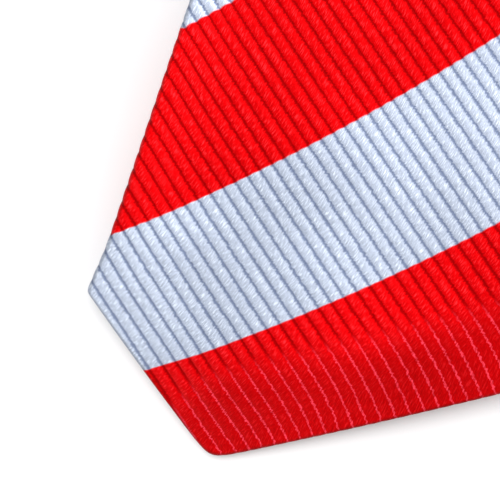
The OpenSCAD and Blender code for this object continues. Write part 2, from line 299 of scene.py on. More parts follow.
def snap(sheet, column, other, other_column):
    """Gives the rows that two parts share the same points along their common edge."""
    index = {round(r, 6): i for i, r in enumerate(other["rows"])}
    for i, r in enumerate(sheet["rows"]):
        j = index.get(round(r, 6))
        if j is None:
            continue
        a, b = sheet["points"][i, column], other["points"][j, other_column]
        if np.abs(a - b).max() < 2:
            sheet["points"][i, column] = b


def panel_parts(panel, starts, middle, flap_middle, seams=()):
    face = part(panel, starts, as_cut, on_face, EDGE_STEPS, EDGE_STEPS, middle, False, seams)
    left = part(panel, starts, over_side(-1), on_flap(-1), RAW_STEPS, EDGE_STEPS, flap_middle, True, seams)
    right = part(panel, starts, over_side(1), on_flap(1), EDGE_STEPS, RAW_STEPS, flap_middle, True, seams)
    snap(left, -1, face, 0)
    snap(right, 0, face, -1)
    parts = [face, left, right]
    if panel.left is not None:
        first = -panel.offset * RIB_SLOPE
        right_hem = part(panel, starts, over_hem(1), on_hem(1), EDGE_STEPS, RAW_STEPS, 4, True)
        snap(right_hem, 0, face, -1)
        before = first - (starts[starts < first + HEM / math.cos(RIB_TURN)] - first)
        left_hem = part(panel, np.sort(before), over_hem(-1), on_hem(-1),
                        EDGE_STEPS, EDGE_STEPS, middle, True)
        parts += [right_hem, left_hem]
        if panel.close:
            parts.append(part(panel, np.sort(before), over_side(-1), on_flap(-1),
                              RAW_STEPS, RAW_STEPS, 4, True))
    return parts


def row_starts(first, last, fine_until=0.0):
    """The lines of the mesh, as their s on the middle: close at a hem, then several to each rib."""
    per_mm = math.cos(RIB_TURN)  # distance between two lines for each mm of s
    reach = (last - first) * per_mm
    rolled = [1e-4, 0.01, 0.03, 0.08, 0.17, 0.3, 0.45, 0.6, 0.8, 1.0] if fine_until else [0.0]
    at = list(rolled)
    while at[-1] < reach:
        at.append(at[-1] + RIB_PITCH / (8 if at[-1] < fine_until else 5))
    at = np.array([a for a in at if a < reach - 0.2] + [reach])
    return first + at / per_mm


# ---------------------------------------------------------------- ribs and stripes on the flat cloth
FLAT_FROM, FLAT_FADE = 133.0, 30.0
PULL_X, PULL_S, PULL_REACH = -1.0, 45.0, 40.0  # middle and reach of the cloth that is pulled out of true
RIB_BEND, RIB_BEND_FROM = 0.26, 20.0  # how much the ribs turn down towards the hem, and from how far


def settled(s):
    """s, held back to a limit above the point, where the cloth is no longer pulled out of true."""
    past = np.maximum(s - FLAT_FROM, 0)
    return np.where(s < FLAT_FROM, s, FLAT_FROM + FLAT_FADE * (1 - np.exp(-past / FLAT_FADE)))


def pulled(x, s):
    """A place as shares of the reach: across, along but held back, and along."""
    return (x - PULL_X) / PULL_REACH, (settled(s) - PULL_S) / PULL_REACH, (s - PULL_S) / PULL_REACH


# In the next two, the terms in u and w run straight and the squared ones bow, by fitted amounts.
def blade_across(x, s):
    """Distance across the ribs, in mm, from a valley at the point."""
    u, v, w = pulled(x, s)
    bow = -0.255 * u * u + 0.299 * u * v + 1.191 * v * v
    near_hem = np.clip(RIB_BEND_FROM - BLADE.edges(x, s)[3], 0, 2 * RIB_BEND_FROM)
    bend = RIB_BEND * near_hem**2 / (2 * RIB_BEND_FROM) * ease((x + 8) / 24)
    return 26.698 * u + 29.786 * w + bow + bend + 37.6


def blade_along(x, s):
    """Distance along the ribs, in mm: a red stripe starts at each even multiple of the width."""
    u, v, w = pulled(x, s)
    along = 53.417 + 27.922 * u - 28.642 * w + 0.232 * u * u + 0.319 * u * v + 2.03 * v * v
    return along - 0.5 * np.maximum(along - 78, 0)


def plain_across(x, s):
    return x * math.sin(RIB_TURN) + s * math.cos(RIB_TURN)


def plain_along(x, s):
    return x * math.cos(RIB_TURN) - s * math.sin(RIB_TURN)


# ---------------------------------------------------------------- meshes
def mesh_from_parts(name, parts, turn=None):
    """Joins the parts of a panel into one mesh, with each point's place on the flat cloth kept."""
    points, cloth, faces, offset = [], [], [], 0
    for sheet in parts:
        p = sheet["points"]
        rows, count = p.shape[:2]
        if rows < 2:
            continue
        k = np.arange(rows * count).reshape(rows, count) + offset
        faces.append(np.stack([k[:-1, :-1], k[:-1, 1:], k[1:, 1:], k[1:, :-1]], -1).reshape(-1, 4))
        points.append(p.reshape(-1, 3))
        cloth.append(sheet["cloth"].reshape(-1, 2))
        offset += rows * count
    points, cloth, faces = np.vstack(points), np.vstack(cloth), np.vstack(faces)
    if turn is not None:
        points = turn(points)
    mesh = bpy.data.meshes.new(name)
    mesh.from_pydata(points.tolist(), [], faces.tolist())
    for axis, label in enumerate(("cloth_x", "cloth_s")):
        layer = mesh.attributes.new(label, "FLOAT", "POINT")
        layer.data.foreach_set("value", cloth[:, axis].astype(np.float32))
    tidy = bmesh.new()
    tidy.from_mesh(mesh)
    bmesh.ops.remove_doubles(tidy, verts=tidy.verts, dist=0.01)
    bmesh.ops.dissolve_degenerate(tidy, dist=0.004, edges=tidy.edges)
    tidy.to_mesh(mesh)
    tidy.free()
    return mesh


def cut(mesh, low, high):
    """A copy of a straight-tie mesh between two values of s."""
    piece = bmesh.new()
    piece.from_mesh(mesh)
    for s, way in ((low, -1), (high, 1)):
        bmesh.ops.bisect_plane(
            piece, geom=piece.verts[:] + piece.edges[:] + piece.faces[:], dist=1e-5,
            plane_co=(0, s, 0), plane_no=(0, way, 0), clear_outer=True)
    made = bpy.data.meshes.new(mesh.name)
    piece.to_mesh(made)
    piece.free()
    return made


def coordinates(mesh):
    co = np.zeros(len(mesh.vertices) * 3, np.float32)
    mesh.vertices.foreach_get("co", co)
    return co.reshape(-1, 3).astype(float)


def attribute(mesh, label):
    values = np.zeros(len(mesh.vertices), np.float32)
    mesh.attributes[label].data.foreach_get("value", values)
    return values.astype(float)


def set_attribute(mesh, label, values):
    layer = mesh.attributes.get(label) or mesh.attributes.new(label, "FLOAT", "POINT")
    layer.data.foreach_set("value", np.asarray(values, np.float32))


def add_object(name, mesh):
    made = bpy.data.objects.new(name, mesh)
    bpy.context.scene.collection.objects.link(made)
    return made


def smooth(mesh):
    mesh.polygons.foreach_set("use_smooth", [True] * len(mesh.polygons))
    mesh.update()


# ---------------------------------------------------------------- geometry nodes
def new_tree(name, inputs):
    tree = bpy.data.node_groups.new(name, "GeometryNodeTree")
    tree.interface.new_socket("Geometry", in_out="INPUT", socket_type="NodeSocketGeometry")
    for label, kind in inputs:
        tree.interface.new_socket(label, in_out="INPUT", socket_type=kind)
    tree.interface.new_socket("Geometry", in_out="OUTPUT", socket_type="NodeSocketGeometry")
    start, end = tree.nodes.new("NodeGroupInput"), tree.nodes.new("NodeGroupOutput")
    return tree, start, end


def feed(links, socket, value):
    """Gives a socket a number, a colour or what comes out of another node."""
    if isinstance(value, bpy.types.NodeSocket):
        links.new(value, socket)
    elif isinstance(value, tuple):
        socket.default_value = (*value, 1)
    elif value is not None:
        socket.default_value = value


def tree_math(tree, operation, a, b=None):
    node = tree.nodes.new("ShaderNodeMath")
    node.operation = operation
    feed(tree.links, node.inputs[0], a)
    feed(tree.links, node.inputs[1], b)
    return node.outputs[0]


def wire(tree, *joins):
    """Links sockets, each pair given as a node, its output, another node and its input."""
    for source, out, target, into in joins:
        tree.links.new(source.outputs[out], target.inputs[into])


def named_attribute(tree, label):
    node = tree.nodes.new("GeometryNodeInputNamedAttribute")
    node.data_type = "FLOAT"
    node.inputs["Name"].default_value = label
    return node.outputs["Attribute"]


def make_rib_tree():
    """Pushes the cloth in between its ribs, so that each rib stands up as a plump cord."""
    tree, start, end = new_tree("rib relief", [
        ("Rib pitch", "NodeSocketFloat"), ("Rib height", "NodeSocketFloat"),
        ("Plumpness", "NodeSocketFloat"), ("Finish", "NodeSocketMaterial")])
    turns = tree_math(tree, "DIVIDE", named_attribute(tree, "across"), start.outputs["Rib pitch"])
    wave = tree_math(tree, "ABSOLUTE", tree_math(tree, "SINE", tree_math(tree, "MULTIPLY", turns, math.pi)))
    crown = tree_math(tree, "POWER", wave, start.outputs["Plumpness"])
    raised = tree_math(tree, "SUBTRACT", crown, CROWN_MIDDLE)
    depth = tree_math(tree, "MULTIPLY", raised, start.outputs["Rib height"])
    depth = tree_math(tree, "MULTIPLY", depth, named_attribute(tree, "relief"))
    normal = tree.nodes.new("GeometryNodeInputNormal")
    scale = tree.nodes.new("ShaderNodeVectorMath")
    scale.operation = "SCALE"
    tree.links.new(depth, scale.inputs["Scale"])
    move = tree.nodes.new("GeometryNodeSetPosition")
    whole = tree.nodes.new("GeometryNodeRealizeInstances")
    paint = tree.nodes.new("GeometryNodeSetMaterial")
    wire(tree, (normal, "Normal", scale, 0), (start, "Geometry", move, "Geometry"),
         (scale, "Vector", move, "Offset"), (move, "Geometry", whole, "Geometry"),
         (whole, "Geometry", paint, "Geometry"), (start, "Finish", paint, "Material"),
         (paint, "Geometry", end, "Geometry"))
    return tree


def make_stitch_tree():
    """Sets a short arched stitch at every step along a path and dips both its ends into the cloth."""
    tree, start, end = new_tree("stitch row", [
        ("Pitch", "NodeSocketFloat"), ("Length", "NodeSocketFloat"), ("Radius", "NodeSocketFloat"),
        ("Slant", "NodeSocketFloat"), ("Finish", "NodeSocketMaterial")])
    nodes = tree.nodes
    to_curve = nodes.new("GeometryNodeMeshToCurve")
    spaced = nodes.new("GeometryNodeResampleCurve")
    spaced.mode = "LENGTH"
    wire(tree, (start, "Geometry", to_curve, "Mesh"), (to_curve, "Curve", spaced, "Curve"),
         (start, "Pitch", spaced, "Length"))
    arch = nodes.new("GeometryNodeCurveQuadraticBezier")
    arch.inputs["Resolution"].default_value = 6
    half = tree_math(tree, "MULTIPLY", start.outputs["Length"], 0.5)
    low = tree_math(tree, "MULTIPLY", start.outputs["Radius"], -1.2)
    high = tree_math(tree, "MULTIPLY", start.outputs["Radius"], 1.4)
    for label, x, z in (("Start", tree_math(tree, "MULTIPLY", half, -1.0), low),
                        ("Middle", None, high), ("End", half, low)):
        place = nodes.new("ShaderNodeCombineXYZ")
        feed(tree.links, place.inputs["X"], x)
        feed(tree.links, place.inputs["Z"], z)
        wire(tree, (place, "Vector", arch, label))
    ring = nodes.new("GeometryNodeCurvePrimitiveCircle")
    ring.inputs["Resolution"].default_value = 6
    tube = nodes.new("GeometryNodeCurveToMesh")
    tube.inputs["Fill Caps"].default_value = True
    wire(tree, (start, "Radius", ring, "Radius"), (arch, "Curve", tube, "Curve"),
         (ring, "Curve", tube, "Profile Curve"))
    tangent = nodes.new("GeometryNodeInputTangent")
    aim = nodes.new("FunctionNodeAlignRotationToVector")
    aim.axis = "X"
    slant = nodes.new("FunctionNodeAxisAngleToRotation")
    slant.inputs["Axis"].default_value = (0, 0, 1)
    turned = nodes.new("FunctionNodeRotateRotation")
    turned.rotation_space = "LOCAL"
    copies = nodes.new("GeometryNodeInstanceOnPoints")
    whole = nodes.new("GeometryNodeRealizeInstances")
    paint = nodes.new("GeometryNodeSetMaterial")
    wire(tree, (tangent, "Tangent", aim, "Vector"), (start, "Slant", slant, "Angle"),
         (aim, "Rotation", turned, "Rotation"), (slant, "Rotation", turned, "Rotate By"),
         (spaced, "Curve", copies, "Points"), (tube, "Mesh", copies, "Instance"),
         (turned, "Rotation", copies, "Rotation"), (copies, "Instances", whole, "Geometry"),
         (whole, "Geometry", paint, "Geometry"), (start, "Finish", paint, "Material"),
         (paint, "Geometry", end, "Geometry"))
    return tree


def run_tree(obj, tree, values):
    """Runs a tree on an object and leaves a plain mesh in its place."""
    modifier = obj.modifiers.new(tree.name, "NODES")
    modifier.node_group = tree
    for item in tree.interface.items_tree:
        if item.item_type == "SOCKET" and item.in_out == "INPUT" and item.name in values:
            modifier[item.identifier] = values[item.name]
    bpy.context.view_layer.update()
    made = bpy.data.meshes.new_from_object(obj.evaluated_get(bpy.context.evaluated_depsgraph_get()))
    obj.modifiers.clear()
    made.name = obj.name
    obj.data = made
    smooth(made)
    return obj


# ---------------------------------------------------------------- materials
class Finish:
    """A material being built: one main shader and short helpers for what feeds it."""

    def __init__(self, name):
        self.material = bpy.data.materials.new(name)
        self.material.use_nodes = True
        self.nodes, self.links = self.material.node_tree.nodes, self.material.node_tree.links
        self.shader = self.nodes["Principled BSDF"]

    def set(self, **values):
        for label, value in values.items():
            self.shader.inputs[label.replace("_", " ")].default_value = value

    def attribute(self, name):
        node = self.nodes.new("ShaderNodeAttribute")
        node.attribute_name = name
        return node.outputs["Fac"]

    def math(self, operation, a, b=None):
        node = self.nodes.new("ShaderNodeMath")
        node.operation = operation
        feed(self.links, node.inputs[0], a)
        feed(self.links, node.inputs[1], b)
        return node.outputs[0]

    def times(self, a, b):
        return self.math("MULTIPLY", a, b)

    def plus(self, a, b):
        return self.math("ADD", a, b)

    def vector(self, x, y, z=0.0):
        node = self.nodes.new("ShaderNodeCombineXYZ")
        for socket, value in zip(node.inputs, (x, y, z)):
            feed(self.links, socket, value)
        return node.outputs[0]

    def place(self):
        """Object coordinates in millimetres, as x, y and z."""
        where = self.nodes.new("ShaderNodeTexCoord")
        grow = self.nodes.new("ShaderNodeVectorMath")
        grow.operation = "SCALE"
        grow.inputs["Scale"].default_value = 1 / MM
        self.links.new(where.outputs["Object"], grow.inputs[0])
        apart = self.nodes.new("ShaderNodeSeparateXYZ")
        self.links.new(grow.outputs["Vector"], apart.inputs[0])
        return apart.outputs

    def noise(self, vector, scale, detail=2.0, roughness=0.5):
        node = self.nodes.new("ShaderNodeTexNoise")
        node.inputs["Scale"].default_value = scale
        node.inputs["Detail"].default_value = detail
        node.inputs["Roughness"].default_value = roughness
        self.links.new(vector, node.inputs["Vector"])
        return node.outputs["Fac"]

    def ramp(self, value, low, high, to_low=0.0, to_high=1.0, smoothly=True):
        node = self.nodes.new("ShaderNodeMapRange")
        node.interpolation_type = "SMOOTHSTEP" if smoothly else "LINEAR"
        for label, v in (("From Min", low), ("From Max", high), ("To Min", to_low), ("To Max", to_high)):
            node.inputs[label].default_value = v
        self.links.new(value, node.inputs["Value"])
        return node.outputs["Result"]

    def mix(self, share, a, b, blend="MIX"):
        node = self.nodes.new("ShaderNodeMix")
        node.data_type, node.blend_type = "RGBA", blend
        for socket, value in ((node.inputs[0], share), (node.inputs[6], a), (node.inputs[7], b)):
            feed(self.links, socket, value)
        return node.outputs[2]

    def shaded(self, colour, shade):
        """A colour made darker or lighter all over."""
        return self.mix(1.0, colour, self.vector(shade, shade, shade), "MULTIPLY")

    def bump(self, height, distance, strength=1.0, under=None):
        node = self.nodes.new("ShaderNodeBump")
        node.inputs["Distance"].default_value = distance
        node.inputs["Strength"].default_value = strength
        self.links.new(height, node.inputs["Height"])
        if under is not None:
            self.links.new(under, node.inputs["Normal"])
        return node.outputs["Normal"]

    def finish(self, colour, normal=None):
        self.links.new(colour, self.shader.inputs["Base Color"])
        if normal is not None:
            self.links.new(normal, self.shader.inputs["Normal"])
        return self.material


# Each row: the silk's own colour, painted shade for the valleys between the ribs and a painted highlight
# for the crowns; the last row holds painted highlights for the valleys where the point slopes down.
RED, RED_VALLEY_SHADE, RED_GLINT = (0.80, 0.0006, 0.0022), (0.27, 0.0001, 0.0006), (1.0, 0.035, 0.045)
PALE, PALE_VALLEY_SHADE, PALE_GLINT = (0.52, 0.58, 0.71), (0.12, 0.16, 0.29), (0.82, 0.88, 0.98)
RED_VALLEY_HIGHLIGHT, PALE_VALLEY_HIGHLIGHT = (1.0, 0.055, 0.095), (0.78, 0.84, 0.96)


def make_silk(name):
    """Ribbed silk satin: a broad stripe runs across the ribs, and each rib shows its fine yarns. It also
    carries painted light: painted shade in the valleys and along the rolled edges, painted glints on the
    crowns, and, where the point slopes down by its right hem, painted shade on the crowns and painted
    highlights in the valleys.
    """
    silk = Finish(name)
    along, across, painted_slope_light, rolled = (
        silk.attribute(n) for n in ("along", "across", "painted_slope_light", "rolled"))

    def grain(along_scale, across_scale, detail, roughness=0.5):
        place = silk.vector(silk.times(along, along_scale), silk.times(across, across_scale))
        return silk.noise(place, 1.0, detail, roughness)

    waver = silk.ramp(grain(2.8, 0.6, 1.0), 0.3, 0.7, -0.20, 0.20, False)
    turns = silk.times(silk.plus(across, waver), 1 / RIB_PITCH)
    wave = silk.math("ABSOLUTE", silk.math("SINE", silk.times(turns, math.pi)))
    valley = silk.ramp(wave, 0.10, 0.55, 1.0, 0.0)
    lean = silk.plus(silk.times(along, 5.2), silk.times(across, 2.6))
    yarn = silk.noise(silk.vector(lean, silk.times(across, 0.7)), 1.0, 1.0, 0.5)
    fleck, soft = grain(3.1, 3.4, 2.0, 0.6), grain(0.035, 0.035, 1.0)
    step = silk.times(wave, 0.25)
    share = silk.math("FRACT", silk.math("DIVIDE", silk.plus(along, step), 2 * STRIPE_W))
    is_red = silk.times(silk.ramp(share, 0.0, 0.006), silk.ramp(share, 0.5, 0.506, 1.0, 0.0))
    top = silk.mix(is_red, PALE, RED)
    valley_shade_colour = silk.mix(is_red, PALE_VALLEY_SHADE, RED_VALLEY_SHADE)
    bright = silk.mix(is_red, PALE_GLINT, RED_GLINT)
    # painted shade: the crowns are darkened in the band by the right hem where the point slopes down
    slope_shade = silk.ramp(painted_slope_light, 0.0, 1.0, 1.0, 0.74)
    top = silk.shaded(top, slope_shade)
    crown = silk.times(silk.ramp(wave, 0.35, 0.95), silk.ramp(painted_slope_light, 0.0, 1.0, 1.0, 0.25))
    glint = silk.times(silk.ramp(yarn, 0.50, 0.72), silk.times(crown, 0.75))
    colour = silk.mix(glint, top, bright)
    # painted shade: the valleys between the ribs are darkened, less so in the band by the sloping point
    shut = silk.times(valley, silk.ramp(painted_slope_light, 0.05, 0.6, 0.8, 0.0))
    colour = silk.mix(shut, colour, valley_shade_colour)
    # painted highlight: in the band by the sloping point the valleys are lit in a light colour
    valley_highlight = silk.times(silk.ramp(wave, 0.12, 0.30, 1.0, 0.0), silk.ramp(painted_slope_light, 0.2, 0.7))
    valley_highlight = silk.times(valley_highlight, silk.ramp(yarn, 0.36, 0.60, 0.35, 1.0))
    colour = silk.mix(valley_highlight, colour, silk.mix(is_red, PALE_VALLEY_HIGHLIGHT, RED_VALLEY_HIGHLIGHT))
    shade = silk.plus(silk.ramp(yarn, 0.25, 0.75, 0.80, 1.18, False),
                      silk.ramp(fleck, 0.3, 0.7, -0.14, 0.12, False))
    shade = silk.times(shade, silk.ramp(soft, 0.3, 0.7, 0.90, 1.06))
    # painted shade: the colour is darkened along the rolled edges
    shade = silk.times(shade, silk.ramp(rolled, 0.0, 1.0, 1.0, 0.55))
    colour = silk.shaded(colour, shade)
    fine = silk.bump(yarn, 0.00009, 0.55)
    fine = silk.bump(fleck, 0.00006, 0.5, fine)
    silk.set(Metallic=0.35, Roughness=0.44, Specular_IOR_Level=0.03)
    return silk.finish(colour, fine)


def make_felt():
    felt = Finish("brushed wool interlining")
    x, y, z = felt.place()
    at = felt.vector(x, y, z)
    hair = felt.noise(at, 1.6, 4.0, 0.7)
    cloud = felt.noise(at, 0.12, 2.0)
    shade = felt.plus(felt.ramp(hair, 0.3, 0.7, 0.82, 1.0), felt.ramp(cloud, 0.3, 0.7, -0.05, 0.05))
    colour = felt.shaded((0.72, 0.68, 0.58), shade)
    felt.set(Roughness=0.95, Specular_IOR_Level=0.2)
    return felt.finish(colour, felt.bump(hair, 0.0004, 0.6))


def make_lining():
    lining = Finish("red lining satin")
    x, y, _ = lining.place()
    at = lining.vector(lining.times(x, 5.0), lining.times(y, 0.8))
    thread = lining.noise(at, 1.0, 2.0)
    shade = lining.ramp(thread, 0.3, 0.7, 0.85, 1.05)
    colour = lining.shaded((0.50, 0.004, 0.010), shade)
    lining.set(Metallic=0.25, Roughness=0.42, Specular_IOR_Level=0.2)
    return lining.finish(colour, lining.bump(thread, 0.00006, 0.5))


def make_tape():
    tape = Finish("woven label tape")
    x, y, _ = tape.place()
    warp = tape.math("SINE", tape.times(x, 2 * math.pi / 0.42))
    weft = tape.math("SINE", tape.times(y, 2 * math.pi / 0.36))
    weave = tape.times(warp, weft)
    shade = tape.ramp(weave, -1.0, 1.0, 0.86, 1.0)
    colour = tape.shaded((0.82, 0.83, 0.86), shade)
    tape.set(Roughness=0.6, Specular_IOR_Level=0.3)
    return tape.finish(colour, tape.bump(weave, 0.00005, 0.6))


def make_thread(name, colour):
    thread = Finish(name)
    x, y, _ = thread.place()
    twist = thread.math("SINE", thread.times(thread.plus(x, y), 2 * math.pi / 0.5))
    shade = thread.ramp(twist, -1.0, 1.0, 0.7, 1.0)
    tint = thread.shaded(colour, shade)
    thread.set(Roughness=0.5, Specular_IOR_Level=0.25)
    return thread.finish(tint, thread.bump(twist, 0.00005, 0.5))


def make_table():
    table = Finish("white table")
    x, y, z = table.place()
    grain = table.noise(table.vector(x, y, z), 0.05, 2.0)
    colour = table.mix(grain, (0.78, 0.78, 0.785), (0.80, 0.80, 0.80))
    table.set(Roughness=1.0, Specular_IOR_Level=0.0)
    return table.finish(colour)


silk = make_silk("striped ribbed silk")
felt, lining_satin, tape = make_felt(), make_lining(), make_tape()
red_thread = make_thread("red sewing thread", (0.62, 0.01, 0.015))
rib_tree, stitch_tree = make_rib_tree(), make_stitch_tree()


# ---------------------------------------------------------------- silk shells
PAINTED_SLOPE_DEPTH, PAINTED_SLOPE_DEPTH_FADE = 11.0, 13.0  # how far in from the right hem the crowns get painted shade and the valleys painted highlights
PAINTED_SLOPE_FROM, PAINTED_SLOPE_FROM_FADE = -25.0, 14.0  # and from what place across the tie


def bend_with_point(piece):
    """Bakes a piece's placement into its mesh."""
    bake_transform(piece)


def turn_with_fold(piece):
    """Bakes a piece's placement into its mesh."""
    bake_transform(piece)


def cut_area(parts):
    """Area of the flat cloth in a panel and its width and length, in metres."""
    area, low, high = 0.0, np.full(2, 1e9), np.full(2, -1e9)
    for sheet in parts:
        c = sheet["cloth"]
        a, b = c[1:, 1:] - c[:-1, :-1], c[1:, :-1] - c[:-1, 1:]
        area += np.abs(a[..., 0] * b[..., 1] - a[..., 1] * b[..., 0]).sum() / 2
        low, high = np.minimum(low, c.min((0, 1))), np.maximum(high, c.max((0, 1)))
    return area * MM * MM, (high - low) * MM


def silk_piece(name, panel, mesh, across, along):
    """Lays a straight-tie mesh down, marks its ribs and stripes and raises the ribs."""
    x, s = attribute(mesh, "cloth_x"), attribute(mesh, "cloth_s")
    set_attribute(mesh, "across", across(x, s))
    set_attribute(mesh, "along", along(x, s))
    straight = coordinates(mesh)
    plan = half_turn(straight) if panel is TAIL else straight
    # This mask marks the band by the blade's right hem where the point slopes down; there the silk's colour
    # gets painted shade on the crowns and painted highlights in the valleys, and the ribs are lower.
    painted_slope_light = np.zeros(len(x))
    if panel is BLADE:
        depth = panel.edges(plan[:, 0], plan[:, 1])[3]
        painted_slope_light = 1 - ease((depth - PAINTED_SLOPE_DEPTH) / PAINTED_SLOPE_DEPTH_FADE)
        painted_slope_light = painted_slope_light * ease((plan[:, 0] - PAINTED_SLOPE_FROM) / PAINTED_SLOPE_FROM_FADE) * (plan[:, 2] > 0)
    inside = panel.inside(plan[:, 0], plan[:, 1])
    edge = ease(inside / 3.5)
    # painted shade: this mask darkens the silk's colour along the rolled edges
    set_attribute(mesh, "rolled", 1 - ease((inside - 0.15) / 0.9))
    set_attribute(mesh, "relief", (0.25 + 0.75 * edge) * (1 - 0.55 * painted_slope_light))
    set_attribute(mesh, "painted_slope_light", painted_slope_light)
    co = fold_up(straight)
    mesh.vertices.foreach_set("co", co.astype(np.float32).ravel())
    smooth(mesh)
    obj = add_object(name, mesh)
    return run_tree(obj, rib_tree, {
        "Rib pitch": RIB_PITCH, "Rib height": RIB_HEIGHT * MM, "Plumpness": PLUMPNESS, "Finish": silk})


def blade_shell():
    first = -POINT_OFFSET * RIB_SLOPE
    starts = row_starts(first, BLADE_SEAM, fine_until=112.0)
    parts = panel_parts(BLADE, starts, 26, 4, seams=[BLADE_SEAM])
    area, flat = cut_area(parts)
    piece = silk_piece("blade_silk", BLADE, mesh_from_parts("blade_silk", parts), blade_across, blade_along)
    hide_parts("point_shell", "blade_shell")
    bend_with_point(piece)


def half_turn(points):
    """From the tail's own plan to the straight tie's."""
    return np.stack([-points[:, 0], TIE_LEN - points[:, 1], points[:, 2]], -1)


def tail_shell():
    starts = row_starts(0.0, TAIL_SEAM, fine_until=12.0)
    parts = panel_parts(TAIL, starts, 14, 3, seams=[TAIL_SEAM])
    area, flat = cut_area(parts)
    mesh = mesh_from_parts("tail_silk", parts, half_turn)
    piece = silk_piece("tail_silk", TAIL, mesh, plain_across, plain_along)
    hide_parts("tail_shell")
    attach(piece, "tail")


def neck_shells():
    starts = row_starts(BLADE_SEAM, TIE_LEN - TAIL_SEAM)
    parts = panel_parts(NECK, starts, 52, 24, seams=[BLADE_SEAM, TIE_LEN - TAIL_SEAM])
    whole = mesh_from_parts("neck_silk", parts)
    lengths = (("neck_silk_blade_side", 0.0, BLADE_LEN, "neck_shell_blade_side"),
               ("neck_silk_fold", BLADE_LEN, BLADE_LEN + FOLD_ARC, "neck_fold_shell"),
               ("neck_silk_tail_side", BLADE_LEN + FOLD_ARC, TIE_LEN, "neck_shell_tail_side"))
    for name, low, high, node in lengths:
        mesh = cut(whole, low, high)
        x, s = attribute(mesh, "cloth_x"), attribute(mesh, "cloth_s")
        area = flat_area(mesh)
        piece = silk_piece(name, NECK, mesh, plain_across, plain_along)
        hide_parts(node)
        if name.endswith("fold"):
            turn_with_fold(piece)
        else:
            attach(piece, "blade" if name.endswith("blade_side") else "tail")


def flat_area(mesh):
    """Area of the flat cloth under a mesh that keeps its places on it, in square metres."""
    x, s = attribute(mesh, "cloth_x") * MM, attribute(mesh, "cloth_s") * MM
    total = 0.0
    for face in mesh.polygons:
        v = list(face.vertices)
        px, ps = x[v], s[v]
        total += abs(np.dot(px, np.roll(ps, -1)) - np.dot(ps, np.roll(px, -1))) / 2
    return float(total)


# ---------------------------------------------------------------- interlining and lining
def slab(stations, left, right, top, low, count=24):
    """A closed layer between two surfaces, through stations of s."""
    t = np.linspace(0, 1, count)
    points, faces = [], []
    for s in stations:
        x = left(s) + (right(s) - left(s)) * t
        up, down = top(x, s), low(x, s)
        edge = np.sin(np.pi * np.clip(np.minimum(t, 1 - t) / 0.06, 0, 1) / 2)
        mid = (up + down) / 2
        up, down = mid + (up - mid) * np.maximum(edge, 0.15), mid + (down - mid) * np.maximum(edge, 0.15)
        points += [(a, s, b) for a, b in zip(x, up)]
        points += [(a, s, b) for a, b in zip(x[::-1], down[::-1])]
    ring, rows = 2 * count, len(stations)
    for i in range(rows - 1):
        for j in range(ring):
            a, b = i * ring + j, i * ring + (j + 1) % ring
            faces.append((a, b, b + ring, a + ring))
    for row, flip in ((0, True), (rows - 1, False)):
        for j in range(count - 1):
            a = row * ring
            quad = (a + j, a + j + 1, a + ring - 2 - j, a + ring - 1 - j)
            faces.append(quad if flip else quad[::-1])
    return np.array(points), [f[::-1] for f in faces]


def closed_mesh(name, points, faces, material):
    """A closed, smooth mesh from points in metres, with its faces turned outward."""
    mesh = bpy.data.meshes.new(name)
    mesh.from_pydata(points.tolist(), [], faces)
    turned = bmesh.new()
    turned.from_mesh(mesh)
    bmesh.ops.remove_doubles(turned, verts=turned.verts, dist=1e-6)
    bmesh.ops.recalc_face_normals(turned, faces=turned.faces)
    turned.to_mesh(mesh)
    turned.free()
    smooth(mesh)
    mesh.materials.append(material)
    return mesh


def side_at(panel, s, side, inset, hem_inset):
    """x of a line inside an edge: inset from the side, or hem_inset from an edge of the point."""
    edge = panel.half(s) - inset
    if panel.left is not None:
        angle = panel.left if side < 0 else panel.right
        edge = min(edge, side * -panel.offset + (s * math.sin(angle) - hem_inset) / math.cos(angle))
    return side * edge


def layer(name, panel, stations, inset, hem_inset, top, low, material, turn=None):
    points, faces = slab(
        stations,
        lambda s: side_at(panel, s, -1, inset, hem_inset),
        lambda s: side_at(panel, s, 1, inset, hem_inset),
        lambda x, s: top(panel.half_thickness(x, np.full(np.shape(x), s))),
        lambda x, s: low(panel.half_thickness(x, np.full(np.shape(x), s))))
    if turn is not None:
        points = turn(points)
    return add_object(name, closed_mesh(name, fold_up(points), faces, material))


def spaced(low, high, step):
    return np.linspace(low, high, max(2, int(round((high - low) / step)) + 1))


def pointed_strip(half_at, inset, low, high, shoulder):
    """Flat size and area, in metres, of a pointed strip lying inset from the tie's edges."""
    s = spaced(low, high, 1)
    width = 2 * (half_at(s) - inset) * np.clip((s - low) / (shoulder - low), 0, 1)
    flat = (float(width.max()) * MM, (high - low) * MM)
    return flat, float(width.mean()) * MM * flat[1]


FELT_INSET, FELT_HEM_INSET, FELT_FROM = 3.4, 9.5, 19.0
FELT_TOP, FELT_LOW = lambda h: h - 0.85, lambda h: -h + 1.35


